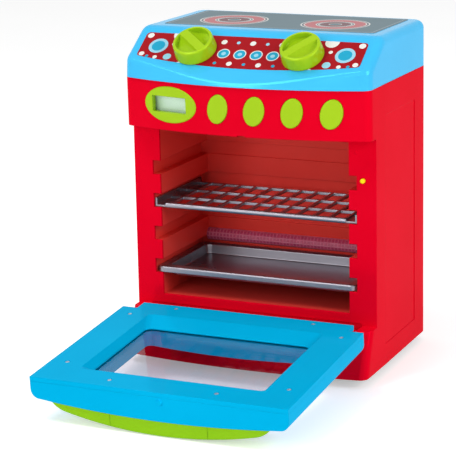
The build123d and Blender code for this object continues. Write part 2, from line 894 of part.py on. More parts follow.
def tapered_plan(level, bow, front_radius, rear_radius, inset):
    """Level section of the whole body: arched front, sides drawn in to the back."""
    corner_y = bow[0] + inset
    half = half_width - inset
    rear_half = half_width - side_draft - inset
    rear_y = body_depth - inset
    with BuildSketch(Plane.XY.offset(level)) as plan:
        with BuildLine():
            Polyline((-half, corner_y), (-rear_half, rear_y), (rear_half, rear_y), (half, corner_y))
            ThreePointArc((half, corner_y), (0, bow[1] + inset), (-half, corner_y))
        make_face()
        corners = plan.vertices().group_by(Axis.Y)
        fillet(corners[0], front_radius - inset)
        fillet(plan.vertices().group_by(Axis.Y)[-1], rear_radius - inset)
    return plan.sketch


with BuildPart() as base_plate:
    inset = wall + base_side_gap
    plan = tapered_plan(base_z, plinth_foot_bow, front_corner_radius, rear_corner_radius, inset)
    extrude(plan, amount=wall)
    for y in skid_y:
        with BuildSketch(Plane.XY):
            with Locations((0, y)):
                SlotOverall(skid_length, skid_width)
        extrude(amount=base_z)
    fillet(base_plate.faces().group_by(Axis.Z)[0].edges(), skid_edge)
    for side in (-1, 1):
        for x, y in (base_post_front, base_post_rear):
            hole = bar_z(side * x, y, bore_radius, base_z, base_z + wall)
            add(hole, mode=Mode.SUBTRACT)

pieces["base_plate"] = base_plate

# ---- Top cap and its labels ------------------------------------------------

slope_plane = Plane(
    origin=(0, crest_y, hob_z),
    x_dir=(1, 0, 0),
    z_dir=(0, -slope_sin, slope_cos),
)
knob_x = knob_spacing / 2


def cap_form(inset):
    """The cap's outer form, moved inwards by the inset and open below."""
    levels = [(parting_z, cap_foot_bow), (brow_z, cap_brow_bow), (hob_z - inset, cap_brow_bow)]
    with BuildPart() as form:
        sections = [
            tapered_plan(z, bow, cap_corner_radius, rear_corner_radius, inset)
            for z, bow in levels
        ]
        loft(sections=sections, ruled=True)
        split(bisect_by=slope_plane.offset(-inset), keep=Keep.BOTTOM)
        tops = form.faces().filter_by(lambda face: face.normal_at().Z > 0.75)
        crest = tops[0].edges() & tops[1].edges()
        fillet(crest, crest_radius - inset)
        tops = form.faces().filter_by(lambda face: face.normal_at().Z > 0.75)
        borders = [edge for face in tops for edge in face.edges()]
        rim = [edge for edge in borders if sum(edge.is_same(other) for other in borders) == 1]
        fillet(rim, cap_edge_radius - inset)
    return form.part


with BuildPart() as cap_room:
    add(cap_form(wall))
    for side in (-1, 1):
        for y in (ledge_front_y + ledge_width / 2, ledge_rear_y + ledge_width / 2):
            post = bar_z(side * cap_post_x, y, cap_post_radius, parting_z + seat_gap, hob_z)
            add(post, mode=Mode.SUBTRACT)

with BuildPart() as top_cap:
    add(cap_form(0))
    add(cap_room.part, mode=Mode.SUBTRACT)
    for side in (-1, 1):
        for y in (ledge_front_y + ledge_width / 2, ledge_rear_y + ledge_width / 2):
            bore = bar_z(side * cap_post_x, y, bore_radius, parting_z, parting_z + cap_screw_length)
            add(bore, mode=Mode.SUBTRACT)
    with BuildSketch(slope_plane):
        with Locations((-knob_x, -knob_drop), (knob_x, -knob_drop)):
            Circle(knob_stem_radius + running_gap)
    extrude(amount=-2 * wall, mode=Mode.SUBTRACT)

pieces["top_cap"] = top_cap

with BuildPart() as hob_label:
    with BuildSketch(Plane.XY.offset(hob_z)):
        with Locations((0, (hob_label_front + hob_label_rear) / 2)):
            RectangleRounded(hob_label_width, hob_label_rear - hob_label_front, hob_label_radius)
    extrude(amount=label_thickness)

pieces["hob_label"] = hob_label

with BuildPart() as control_label:
    with BuildSketch(slope_plane) as outline:
        half = panel_label_width / 2
        with BuildLine():
            Polyline(
                (-half, -panel_label_end),
                (-half, -panel_label_top),
                (half, -panel_label_top),
                (half, -panel_label_end),
            )
            ThreePointArc((half, -panel_label_end), (0, -panel_label_dip), (-half, -panel_label_end))
        make_face()
        fillet(outline.vertices(), panel_label_radius)
        with Locations((-knob_x, -knob_drop), (knob_x, -knob_drop)):
            Circle(knob_stem_radius + running_gap, mode=Mode.SUBTRACT)
    extrude(amount=label_thickness)

pieces["control_label"] = control_label

# ---- Knobs -----------------------------------------------------------------

knob_lift = label_thickness + running_gap
knob_draft = 5.0
knob_rim_edge = 1.9
hollow_radius = 17.8
scoop_radius = 10.0
scoop_depth = 6.0
clip_radius = 8.5
clip_thickness = 1.5


def knob(x, turn):
    """Round knob with a grip ridge between two hollows inside its rim, and its stem."""
    seat = slope_plane.offset(knob_lift)
    centre = seat.from_local_coords((x, -knob_drop, 0))
    grip_dir = seat.x_dir * cos(radians(turn)) + seat.y_dir * sin(radians(turn))
    base = Plane(origin=centre, x_dir=grip_dir, z_dir=seat.z_dir)
    scoop_offset = knob_grip_width / 2 + sqrt(scoop_radius**2 - (scoop_radius - scoop_depth) ** 2)
    with BuildPart() as hollows:
        with BuildSketch(Plane(origin=centre, x_dir=base.y_dir, z_dir=base.x_dir)):
            level = knob_height + scoop_radius - scoop_depth
            with Locations((-scoop_offset, level), (scoop_offset, level)):
                Circle(scoop_radius)
        extrude(amount=knob_radius, both=True)
        with BuildSketch(base):
            Circle(hollow_radius)
        extrude(amount=2 * knob_height, mode=Mode.INTERSECT)
    with BuildPart() as form:
        with BuildSketch(base):
            Circle(knob_radius)
        extrude(amount=knob_height, taper=knob_draft)
        rim = form.edges().filter_by(
            lambda edge: base.to_local_coords(edge.center()).Z > knob_height / 2
            and edge.geom_type == GeomType.CIRCLE
        )
        fillet(rim, knob_rim_edge)
        add(hollows.part, mode=Mode.SUBTRACT)
        with BuildSketch(base):
            Circle(knob_stem_radius)
        extrude(amount=-knob_stem_length)
    return form


def knob_clip(x):
    """Retaining ring on the knob's stem, behind the cap's skin."""
    with BuildPart() as ring:
        with BuildSketch(slope_plane.offset(-wall - running_gap)):
            with Locations((x, -knob_drop)):
                Circle(clip_radius)
                Circle(knob_stem_radius + pin_gap, mode=Mode.SUBTRACT)
        extrude(amount=-clip_thickness)
    return ring


for name, x, turn in (("left", -knob_x, knob_turns[0]), ("right", knob_x, knob_turns[1])):
    pieces[f"knob_{name}"] = knob(x, turn)
    pieces[f"knob_{name}_clip"] = knob_clip(x)

# ---- Display ---------------------------------------------------------------

bezel_flange = 3.0
flange_thickness = 1.5
tunnel_wall = 2.0
lens_thickness = 1.2
lens_lap = 1.5
face_edge = 0.8

with BuildPart() as bezel_face:
    add(oval_prism(bezel_x, control_z, bezel_width, bezel_height))
    add(fascia_layer(-bezel_stand, wall + seat_gap), mode=Mode.INTERSECT)
    fillet(bezel_face.faces().sort_by(Axis.Y)[0].edges(), face_edge)

with BuildPart() as bezel_rim:
    flange = (bezel_width + 2 * bezel_flange, bezel_height + 2 * bezel_flange)
    add(oval_prism(bezel_x, control_z, *flange))
    add(fascia_layer(wall + seat_gap, wall + seat_gap + flange_thickness), mode=Mode.INTERSECT)

with BuildPart() as bezel_tunnel:
    tunnel = (display_width + 2 * tunnel_wall, display_height + 2 * tunnel_wall)
    add(box_prism(display_x, control_z, *tunnel))
    add(fascia_layer(wall, display_depth), mode=Mode.INTERSECT)

with BuildPart() as display_bezel:
    add(bezel_face.part)
    add(bezel_rim.part)
    add(bezel_tunnel.part)
    add(box_prism(display_x, control_z, display_width, display_height), mode=Mode.SUBTRACT)

pieces["display_bezel"] = display_bezel

with BuildPart() as display_lens:
    lens = (display_width + 2 * lens_lap, display_height + 2 * lens_lap)
    add(box_prism(display_x, control_z, *lens))
    lens_front = display_depth + seat_gap
    add(fascia_layer(lens_front, lens_front + lens_thickness), mode=Mode.INTERSECT)

pieces["display_lens"] = display_lens

lcd_depth = 3.0
lcd_margin = 6.0
bow_mid = along((fascia_foot_bow, fascia_top_bow), control_level / fascia_height)
bow_rise = bow_mid[0] - bow_mid[1]
lens_back = lens_front + lens_thickness
back_half = half_width - lens_back
display_share = 1 - (display_x / back_half) ** 2
display_y = bow_mid[0] - bow_rise * display_share
display_turn = 2 * bow_rise * display_x / back_half**2
foot_y = fascia_foot_bow[0] + (fascia_foot_bow[1] - fascia_foot_bow[0]) * display_share
top_y = fascia_top_bow[0] + (fascia_top_bow[1] - fascia_top_bow[0]) * display_share
display_lean = (top_y - foot_y) / fascia_height
lcd_half = display_width / 2 + lcd_margin
lcd_sag = bow_rise * (lcd_half / back_half) ** 2
with BuildPart() as lcd_module:
    lcd_plane = Plane(
        origin=(display_x, display_y + lens_back + lcd_sag + seat_gap, control_z),
        x_dir=(1, display_turn, 0),
        z_dir=(display_turn, -1, display_lean),
    )
    with BuildSketch(lcd_plane):
        Rectangle(2 * lcd_half, display_height + 2 * lcd_margin)
    extrude(amount=-lcd_depth)

pieces["lcd_module"] = lcd_module

# ---- Buttons and their board -----------------------------------------------

tact_size = 6.0
tact_height = 3.5
tact_button_radius = 1.6
tact_button_height = 1.2
stem_radius = 2.0
stem_tip_y = board_y - tact_height - tact_button_height - button_travel - running_gap
flange_start = wall + running_gap
button_skin = fascia_layer(-button_stand, flange_start)
button_rim = fascia_layer(flange_start, flange_start + flange_thickness)


def push_button(x):
    """Tilted oval button: a face that follows the fascia, a stop flange and a stem."""
    with BuildPart() as face:
        add(oval_prism(x, control_z, button_width, button_height, button_tilt))
        add(button_skin, mode=Mode.INTERSECT)
        fillet(face.faces().sort_by(Axis.Y)[0].edges(), face_edge)
    with BuildPart() as flange:
        size = (button_width + 2 * button_flange, button_height + 2 * button_flange)
        add(oval_prism(x, control_z, *size, button_tilt))
        add(button_rim, mode=Mode.INTERSECT)
    back = bow_mid[1] + bow_rise * (x / half_width) ** 2 + flange_start
    with BuildPart() as button:
        add(face.part)
        add(flange.part)
        add(bar_y(x, control_z, stem_radius, back, stem_tip_y))
    return button


for name, x in zip(button_names, button_centres):
    pieces[f"button_{name}"] = push_button(x)

with BuildPart() as button_board:
    board_x = (button_centres[0] - 17.0, button_centres[-1] + 14.0)
    board_z = (control_z - 15.0, control_z + 15.0)
    add(block(board_x, (board_y, board_y + board_thickness), board_z))
    for x in button_centres:
        half = tact_size / 2
        body_y = (board_y - tact_height, board_y)
        add(block((x - half, x + half), body_y, (control_z - half, control_z + half)))
        tip_y = board_y - tact_height - tact_button_height
        add(bar_y(x, control_z, tact_button_radius, tip_y, board_y))
    for x in board_post_x:
        hole = bar_y(x, control_z, bore_radius, board_y, board_y + board_thickness)
        add(hole, mode=Mode.SUBTRACT)

pieces["button_board"] = button_board

# ---- Door ------------------------------------------------------------------

open_sin = sin(radians(open_tilt))
open_cos = cos(radians(open_tilt))
door_plane = Plane(
    origin=(0, hinge_y, hinge_z),
    x_dir=(1, 0, 0),
    z_dir=(0, -open_sin, open_cos),
)
plate_back = inner_face - door_wall
lip_thickness = 1.5
lip_level = inner_face - window_depth
lip_back = lip_level - lip_thickness
pane_top = lip_back - seat_gap
pane_bottom = pane_top - pane_thickness
tunnel_top = pane_bottom - seat_gap
window_mid = (window_near + window_far) / 2
window_length = window_near - window_far
ridge_radius = 6.0

door_screw_radius = 1.3
door_head_radius = 2.3
door_head_height = 1.2
door_boss_radius = 3.5
door_screw_points = ((117.5, -31.5), (117.2, -164.0))
tab_screw_point = (77.0, -5.7)
handle_screw_point = (56.0, -192.0)


def door_station(y):
    """Plane across the door at a distance from the hinge, facing the free edge."""
    origin = door_plane.from_local_coords((0, y, 0))
    return Plane(origin=origin, x_dir=(1, 0, 0), z_dir=-door_plane.y_dir)


def door_slab(top, inset):
    """The door's crowned form up to a level, moved inwards by the inset."""
    half = door_half_width - inset
    edge = door_edge + inset
    with BuildPart() as slab:
        with BuildSketch(door_station(door_heel - inset)):
            with BuildLine():
                Polyline((-half, edge), (-half, top), (half, top), (half, edge))
                ThreePointArc((half, edge), (0, door_crown + inset), (-half, edge))
            make_face()
        extrude(amount=door_heel - door_toe - 2 * inset)
        rim = slab.edges().filter_by(
            lambda line: door_plane.to_local_coords(line.center()).Z < edge + 1
            and door_plane.to_local_coords(line.center()).Y > door_toe + inset + 1
        )
        fillet(rim, door_rim_radius - inset)
    return slab.part


def door_block(x_range, y_range, z_range):
    """Plain block in the door's own directions."""
    with BuildPart() as solid:
        with BuildSketch(door_plane.offset(z_range[0])):
            with Locations(((x_range[0] + x_range[1]) / 2, (y_range[0] + y_range[1]) / 2)):
                Rectangle(x_range[1] - x_range[0], y_range[1] - y_range[0])
        extrude(amount=z_range[1] - z_range[0])
    return solid.part


def door_bar(x, y, radius, z_from, z_to):
    """Round bar square to the door."""
    with BuildPart() as bar:
        with BuildSketch(door_plane.offset(z_from)):
            with Locations((x, y)):
                Circle(radius)
        extrude(amount=z_to - z_from)
    return bar.part


def window_prism(grow, z_from, z_to):
    """Rounded bar through the window, grown all round."""
    with BuildPart() as bar:
        with BuildSketch(door_plane.offset(z_from)):
            with Locations((0, window_mid)):
                RectangleRounded(
                    window_width + 2 * grow,
                    window_length + 2 * grow,
                    window_radius + grow,
                )
        extrude(amount=z_to - z_from)
    return bar.part


def funnel(grow, low_level):
    """Sloped surround of the window, from the inner face down to a level."""
    ridge_y = (window_near + funnel_near + window_far - funnel_far) / 2
    ridge_length = window_length + funnel_near + funnel_far
    with BuildPart() as form:
        with BuildSketch(door_plane.offset(low_level)):
            with Locations((0, window_mid)):
                RectangleRounded(
                    window_width + 2 * grow,
                    window_length + 2 * grow,
                    window_radius + grow,
                )
        with BuildSketch(door_plane.offset(inner_face)):
            with Locations((0, ridge_y)):
                RectangleRounded(
                    window_width + 2 * (funnel_side + grow),
                    ridge_length + 2 * grow,
                    ridge_radius + grow,
                )
        loft(ruled=True)
    return form.part


def mirrored(points):
    """Each point on both sides of the door."""
    return [(side * x, y) for x, y in points for side in (-1, 1)]


tab_screws = mirrored([tab_screw_point])
frame_screws = mirrored(door_screw_points)
handle_screw_spots = mirrored([handle_screw_point])
head_level = inner_face - door_head_height - 0.2
deep_level = 3 * door_crown

with BuildPart() as outer_ribs:
    add(window_prism(door_wall, deep_level, tunnel_top))
    for x, y in frame_screws + handle_screw_spots:
        add(door_bar(x, y, door_boss_radius, deep_level, door_parting))

with BuildPart() as outer_room:
    add(door_slab(door_parting, door_wall))
    add(outer_ribs.part, mode=Mode.SUBTRACT)

with BuildPart() as outer_holes:
    add(window_prism(0, deep_level, tunnel_top + 1))
    for x, y in frame_screws:
        add(door_bar(x, y, door_screw_radius + 0.05, door_parting - 9, door_parting))
    for x, y in handle_screw_spots:
        add(door_bar(x, y, door_screw_radius + 0.05, deep_level, door_parting))

with BuildPart() as door_outer_frame:
    add(door_slab(door_parting, 0))
    add(outer_room.part, mode=Mode.SUBTRACT)
    add(outer_holes.part, mode=Mode.SUBTRACT)
    # Latch nub on the free edge
    with BuildSketch(door_station(door_toe)):
        with Locations((nub_x, 11.0)):
            Circle(nub_radius)
    extrude(amount=nub_height, taper=25)

pieces["door_outer_frame"] = door_outer_frame

with BuildPart() as door_inner_frame:
    base_level = door_parting + seat_gap
    half = door_half_width
    add(door_block((-half, half), (door_toe, door_heel), (base_level, inner_face)))
    skirt = door_wall
    hollow = door_block(
        (-half + skirt, half - skirt),
        (door_toe + skirt, door_heel - skirt),
        (base_level, plate_back),
    )
    add(hollow, mode=Mode.SUBTRACT)
    add(funnel(door_wall, lip_back))
    for x, y in frame_screws + handle_screw_spots:
        add(door_bar(x, y, door_boss_radius, base_level, plate_back))
    # Tab that reaches back over the plinth
    tab_levels = (inner_face - tab_thickness, inner_face)
    add(door_block((-tab_half_width, tab_half_width), (door_heel, tab_reach), tab_levels))
    # Arms down to the hinge axis
    for side in (-1, 1):
        with BuildSketch(Plane(
            origin=(side * (arm_inner + arm_outer) / 2, hinge_y, hinge_z),
            x_dir=door_plane.y_dir,
            z_dir=(1, 0, 0),
        )):
            Circle(knuckle_radius)
            with Locations(((tab_reach - knuckle_radius) / 2, 0)):
                Rectangle(
                    tab_reach + knuckle_radius,
                    inner_face - tab_thickness,
                    align=(Align.CENTER, Align.MIN),
                )
            Circle(pin_radius + pin_gap, mode=Mode.SUBTRACT)
        extrude(amount=(arm_outer - arm_inner) / 2, both=True)
    add(funnel(0, lip_level), mode=Mode.SUBTRACT)
    add(window_prism(0, lip_back - 1, lip_level + 0.1), mode=Mode.SUBTRACT)
    for x, y in frame_screws + handle_screw_spots:
        add(door_bar(x, y, door_screw_radius + 0.05, base_level, inner_face), mode=Mode.SUBTRACT)
    for x, y in tab_screws:
        bore = door_bar(x, y, door_screw_radius + 0.05, inner_face - 4.4, inner_face)
        add(bore, mode=Mode.SUBTRACT)
    for x, y in frame_screws + handle_screw_spots + tab_screws:
        add(door_bar(x, y, door_head_radius + 0.2, head_level, inner_face), mode=Mode.SUBTRACT)

pieces["door_inner_frame"] = door_inner_frame

with BuildPart() as door_window:
    add(window_prism(pane_margin, pane_bottom, pane_top))

pieces["door_window"] = door_window


def door_screw(x, y, length):
    """Small screw sunk in the door's inner face."""
    with BuildPart() as fastener:
        add(door_bar(x, y, door_head_radius, head_level, head_level + door_head_height))
        add(door_bar(x, y, door_screw_radius, head_level - length, head_level))
    return fastener.part


with BuildPart() as door_screws:
    for x, y in frame_screws:
        add(door_screw(x, y, 10.0))
    for x, y in tab_screws:
        add(door_screw(x, y, 2.8))

pieces["door_screws"] = door_screws

# ---- Handle ----------------------------------------------------------------

handle_far = door_toe + handle_setback
handle_near = handle_far + handle_length
handle_edge = 2.0
handle_bore_end = handle_crown + 6.0
handle_screw_rest = 1.0     # from the screw's tip to the end of its bore


def handle_form(inset):
    """Crescent bar on the door's outer face, moved inwards by the inset."""
    crown = handle_crown + inset
    bow = handle_bow_radius - inset
    shoulder_level = crown + bow - sqrt(bow**2 - handle_shoulder**2)
    span = handle_half_span - 2 * inset
    tip = door_crown + (door_edge - door_crown) * (handle_half_span / door_half_width) ** 2
    with BuildPart() as form:
        with BuildSketch(door_station(handle_near)):
            with BuildLine():
                middle = ThreePointArc(
                    (-handle_shoulder, shoulder_level),
                    (0, crown),
                    (handle_shoulder, shoulder_level),
                )
                TangentArc((handle_shoulder, shoulder_level), (span, tip), tangent=middle % 1)
                TangentArc(
                    (-handle_shoulder, shoulder_level),
                    (-span, tip),
                    tangent=(middle % 0) * -1,
                )
                Polyline((span, tip), (span, 0), (-span, 0), (-span, tip))
            make_face()
        extrude(amount=handle_length - inset)
    return form.part


with BuildPart() as handle_outer:
    add(handle_form(0))
    lower = handle_outer.edges().filter_by(
        lambda line: door_plane.to_local_coords(line.center()).Z < door_crown / 2
        and abs(door_plane.to_local_coords(line.center()).Y - handle_far) < 0.1
    )
    fillet(lower, handle_edge)

with BuildPart() as handle_room:
    add(handle_form(handle_wall))
    for x, y in handle_screw_spots:
        rib_x = sorted((x, (1 if x > 0 else -1) * handle_rib_x))
        rib = door_block(
            (rib_x[0] - 1, rib_x[1] + 1) if abs(rib_x[0]) > handle_rib_x else rib_x,
            (y - 1, y + 1),
            (deep_level, 0),
        )
        add(rib, mode=Mode.SUBTRACT)
        plate_x = (1 if x > 0 else -1) * handle_rib_x
        plate = door_block((plate_x - 1, plate_x + 1), (handle_far, handle_near - 5), (deep_level, 0))
        add(plate, mode=Mode.SUBTRACT)
        add(door_bar(x, y, door_boss_radius, deep_level, 0), mode=Mode.SUBTRACT)

handle_grip_gap = door_slab(door_parting, -seat_gap)

# Seam lines where the grip meets the ends
with BuildPart() as handle_seams:
    for side in (-1, 1):
        centre = side * handle_rib_x
        seam_x = (centre - handle_seam_width / 2, centre + handle_seam_width / 2)
        add(door_block(seam_x, (handle_far - 1, handle_near + 1), (deep_level, door_crown)))
    add(handle_form(handle_seam_depth), mode=Mode.SUBTRACT)

with BuildPart() as door_handle:
    add(handle_outer.part)
    add(handle_room.part, mode=Mode.SUBTRACT)
    add(handle_grip_gap, mode=Mode.SUBTRACT)
    for x, y in handle_screw_spots:
        bore = door_bar(x, y, door_screw_radius + 0.05, handle_bore_end, 0)
        add(bore, mode=Mode.SUBTRACT)
    add(handle_seams.part, mode=Mode.SUBTRACT)

pieces["door_handle"] = door_handle

with BuildPart() as handle_screws:
    for x, y in handle_screw_spots:
        add(door_screw(x, y, head_level - handle_bore_end - handle_screw_rest))

pieces["handle_screws"] = handle_screws

# ---- Hinge pins and door switch --------------------------------------------

with BuildPart() as hinge_pins:
    for side in (-1, 1):
        reach = (arm_slot_inner - pin_rib, arm_slot_outer + pin_rib)
        add(bar_x(hinge_y, hinge_z, pin_radius, *sorted(side * x for x in reach)))

pieces["hinge_pins"] = hinge_pins

with BuildPart() as door_switch_plunger:
    add(bar_y(plunger_x, plunger_z, plunger_radius, -plunger_stand, plunger_rear_y))
    fillet(door_switch_plunger.faces().sort_by(Axis.Y)[0].edges(), plunger_radius / 2)
    flange_y = (wall + running_gap, wall + running_gap + plunger_flange)
    add(bar_y(plunger_x, plunger_z, plunger_radius + plunger_flange, *flange_y))

pieces["door_switch_plunger"] = door_switch_plunger

with BuildPart() as door_switch:
    add(block(switch_body_x, switch_body_y, (switch_shelf_z, switch_shelf_z + switch_body_height)))
    add(bar_y(plunger_x, plunger_z, 1.5, switch_body_y[0] - switch_button, switch_body_y[0]))

pieces["door_switch"] = door_switch

# ---- Speaker, main board and power switch ----------------------------------

with BuildPart() as speaker:
    speaker_y = inner_rear_y - seat_gap
    rim_y = (speaker_y - 2.0, speaker_y)
    add(bar_y(speaker_x, speaker_z, speaker_radius, *rim_y))
    with BuildSketch(at_y(speaker_y - 2.0)):
        with Locations((speaker_x, speaker_z)):
            Circle(speaker_radius - 2)
    with BuildSketch(at_y(speaker_y - 9.0)):
        with Locations((speaker_x, speaker_z)):
            Circle(speaker_radius * 0.5)
    loft()
    add(bar_y(speaker_x, speaker_z, speaker_radius * 0.55, speaker_y - 14.0, speaker_y - 8.0))
    # Cone, open towards the grille
    with BuildSketch(at_y(speaker_y)):
        with Locations((speaker_x, speaker_z)):
            Circle(speaker_radius - 3)
    extrude(amount=4.0, taper=35, mode=Mode.SUBTRACT)

pieces["speaker"] = speaker

with BuildPart() as main_board:
    board_y_range = (main_board_y, main_board_y + board_thickness)
    add(block(main_board_x, board_y_range, main_board_z))
    add(bar_y(-40.0, 165.0, 6.0, main_board_y - 1.5, main_board_y))
    add(block((-20.0, -4.0), (main_board_y - 2.5, main_board_y), (150.0, 158.0)))
    for x in (-8.0, 2.0):
        add(bar_y(x, 182.0, 3.1, main_board_y - 8.0, main_board_y))
    add(block((-62.0, -46.0), (main_board_y - 6.0, main_board_y), (126.0, 132.0)))
    for x, z in main_board_posts:
        add(bar_y(x, z, bore_radius, *board_y_range), mode=Mode.SUBTRACT)

pieces["main_board"] = main_board

with BuildPart() as power_slider:
    plate_y = (inner_rear_y - 1.3, inner_rear_y - 0.2)
    half = slider_width / 2
    add(block((switch_x - half - 2, switch_x + half + 2), plate_y, (switch_z - 4, switch_z + 4)))
    knob_y = (plate_y[0], body_depth + 1.6)
    knob_z = (switch_z - slider_height / 2, switch_z + slider_height / 2)
    add(block((switch_x - half, switch_x + half), knob_y, knob_z))

pieces["power_slider"] = power_slider

with BuildPart() as power_switch:
    body_half = 12.0
    body_y = (inner_rear_y - 9.5, inner_rear_y - 1.5)
    add(block((switch_x - body_half, switch_x + body_half), body_y, (switch_z - 5, switch_z + 5)))
    for side in (-1, 1):
        ear = sorted((switch_x + side * body_half, switch_x + side * (body_half - 2.5)))
        ear_y = (body_y[1], inner_rear_y - seat_gap)
        add(block(ear, ear_y, (switch_z - 5, switch_z + 5)))

pieces["power_switch"] = power_switch

# ---- Rack and tray ---------------------------------------------------------

shelf_half = slot_span / 2 - shelf_side_gap
shelf_front_y = shelf_setback
rack_z = slot_floors[rack_level - 1] + running_gap
lattice_z = rack_z + 0.8
lattice_height = 2.8
rack_bar_width = 2.8
rack_cross_width = 3.6
rack_bar_pitch = 18.0
rack_rod_rise = 2.1         # centre of the front rod above the rails' feet
rail_front_y = shelf_front_y + 1.6
rail_foot_thickness = 2.0
rack_rear_y = shelf_front_y + rack_depth
rod_y = shelf_front_y + rack_rod_radius

with BuildPart() as rack_front_rod:
    add(bar_x(rod_y, rack_z + rack_rod_rise, rack_rod_radius, -rack_rod_half, rack_rod_half))
    fillet(rack_front_rod.edges().filter_by(GeomType.CIRCLE), rack_rod_radius / 3)

with BuildPart() as rack:
    with BuildSketch(Plane.XY.offset(lattice_z)):
        with Locations((0, (rod_y + rack_rear_y) / 2)):
            with GridLocations(rack_bar_pitch, 0, rack_bar_count, 1):
                Rectangle(rack_bar_width, rack_rear_y - rod_y)
        cross_pitch = (rack_rear_y - rack_cross_width / 2 - rod_y) / (rack_cross_count - 1)
        cross_length = 2 * (shelf_half - rail_thickness / 2)
        with Locations(*[(0, rod_y + k * cross_pitch) for k in range(1, rack_cross_count)]):
            Rectangle(cross_length, rack_cross_width)
    extrude(amount=lattice_height)
    add(rack_front_rod.part)
    # Angled side rails that run in the channels
    rail_y = (rail_front_y, rack_rear_y)
    for side in (-1, 1):
        rail_x = sorted((side * shelf_half, side * (shelf_half - rail_thickness)))
        add(block(rail_x, rail_y, (rack_z, rack_z + rail_height)))
        foot_x = sorted((side * shelf_half, side * (rack_rod_half - rack_rod_radius)))
        add(block(foot_x, rail_y, (rack_z, rack_z + rail_foot_thickness)))

pieces["rack"] = rack

tray_z = slot_floors[tray_level - 1] + running_gap
tray_top = tray_z + tray_rim_height
tray_mid = (0, shelf_front_y + tray_depth / 2)
tray_radius = 8.0
with BuildPart() as tray:
    with BuildSketch(Plane.XY.offset(tray_z)):
        with Locations(tray_mid):
            RectangleRounded(2 * shelf_half, tray_depth, tray_radius)
    extrude(amount=tray_rim_height)
    fillet(tray.faces().sort_by(Axis.Z)[-1].edges(), tray_skin)
    with BuildSketch(Plane.XY.offset(tray_z)):
        with Locations(tray_mid):
            RectangleRounded(
                2 * (shelf_half - tray_skin),
                tray_depth - 2 * tray_skin,
                tray_radius - tray_skin,
            )
    extrude(amount=tray_rim_height - tray_skin, mode=Mode.SUBTRACT)
    with BuildSketch(Plane.XY.offset(tray_top)):
        with Locations(tray_mid):
            RectangleRounded(
                2 * (shelf_half - tray_border),
                tray_depth - 2 * tray_border,
                tray_radius,
            )
    extrude(amount=-(tray_sink + tray_skin), taper=8)
    fillet(tray.faces().sort_by(Axis.Z)[0].edges(), 3.0)
    with BuildSketch(Plane.XY.offset(tray_top)):
        with Locations(tray_mid):
            RectangleRounded(
                2 * (shelf_half - tray_border - tray_skin),
                tray_depth - 2 * (tray_border + tray_skin),
                tray_radius - tray_skin,
            )
    extrude(amount=-tray_sink, taper=8, mode=Mode.SUBTRACT)

pieces["tray"] = tray

# ---- Screws ----------------------------------------------------------------

with BuildPart() as housing_screws:
    for side in (-1, 1):
        for level in post_levels:
            seat = facing((side * post_x, seam_y + tube_floor, level), (0, 1, 0))
            add(screw(seat, housing_screw_length))

pieces["housing_screws"] = housing_screws

with BuildPart() as cap_screws:
    for side in (-1, 1):
        for y in (ledge_front_y + ledge_width / 2, ledge_rear_y + ledge_width / 2):
            seat = facing((side * cap_post_x, y, parting_z - ledge_thickness), (0, 0, -1))
            add(screw(seat, cap_screw_length))

pieces["cap_screws"] = cap_screws

with BuildPart() as base_screws:
    for side in (-1, 1):
        for x, y in (base_post_front, base_post_rear):
            add(screw(facing((side * x, y, base_z), (0, 0, -1)), base_screw_length))

pieces["base_screws"] = base_screws

with BuildPart() as cavity_screws:
    for side in (-1, 1):
        for level in cavity_post_levels:
            ear_back = cavity_post_y + seat_gap + ear_thickness
            seat = facing((side * cavity_post_x, ear_back, level), (0, 1, 0))
            add(screw(seat, cavity_screw_length))

pieces["cavity_screws"] = cavity_screws

with BuildPart() as board_screws:
    for x in board_post_x:
        seat = facing((x, board_y + board_thickness, control_z), (0, 1, 0))
        add(screw(seat, board_screw_length))
    for x, z in main_board_posts:
        add(screw(facing((x, main_board_y, z), (0, -1, 0)), board_screw_length))
    for side in (-1, 1):
        seat = facing((side * lamp_post_x, lamp_board_y + board_thickness, lamp_z), (0, 1, 0))
        add(screw(seat, board_thickness + lamp_post_height))

pieces["board_screws"] = board_screws

# ---- Files -----------------------------------------------------------------

for name, piece in pieces.items():
    piece.part.label = name
    export_step(piece.part, f"parts/{name}.step")
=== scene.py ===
import json
from math import atan2, cos, hypot, pi, radians, sin

import bmesh
import bpy
from mathutils import Matrix, Vector


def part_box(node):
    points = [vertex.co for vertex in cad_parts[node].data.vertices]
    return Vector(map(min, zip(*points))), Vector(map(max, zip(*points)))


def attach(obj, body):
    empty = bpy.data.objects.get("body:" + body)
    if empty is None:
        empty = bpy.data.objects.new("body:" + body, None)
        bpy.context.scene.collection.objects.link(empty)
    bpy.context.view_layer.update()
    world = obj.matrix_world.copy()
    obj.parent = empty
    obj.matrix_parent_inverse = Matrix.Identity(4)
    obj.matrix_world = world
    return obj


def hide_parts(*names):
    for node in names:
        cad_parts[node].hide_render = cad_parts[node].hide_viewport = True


# Toy oven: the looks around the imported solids. Metres, in the solids' own frame.

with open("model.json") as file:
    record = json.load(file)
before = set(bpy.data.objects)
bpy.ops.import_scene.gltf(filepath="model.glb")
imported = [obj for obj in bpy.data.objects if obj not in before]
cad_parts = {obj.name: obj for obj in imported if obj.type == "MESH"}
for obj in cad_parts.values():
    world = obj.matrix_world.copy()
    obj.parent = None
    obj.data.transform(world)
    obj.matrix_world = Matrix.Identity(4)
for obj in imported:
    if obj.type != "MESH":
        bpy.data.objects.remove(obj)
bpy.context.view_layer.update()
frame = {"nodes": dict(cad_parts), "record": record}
nodes = frame["nodes"]
joints = {joint["name"]: joint for joint in frame["record"]["behaviour"]["joints"]}
mm = 0.001

# ---- Camera ----------------------------------------------------------------

image_px = 456.0
focal_px = 1897.9
centre_px = (308.6, 160.4)
camera_place = Vector((0.7791, -1.7264, 0.6274))
camera_yaw = radians(22.55)
camera_pitch = radians(12.16)
camera_roll = radians(-0.65)

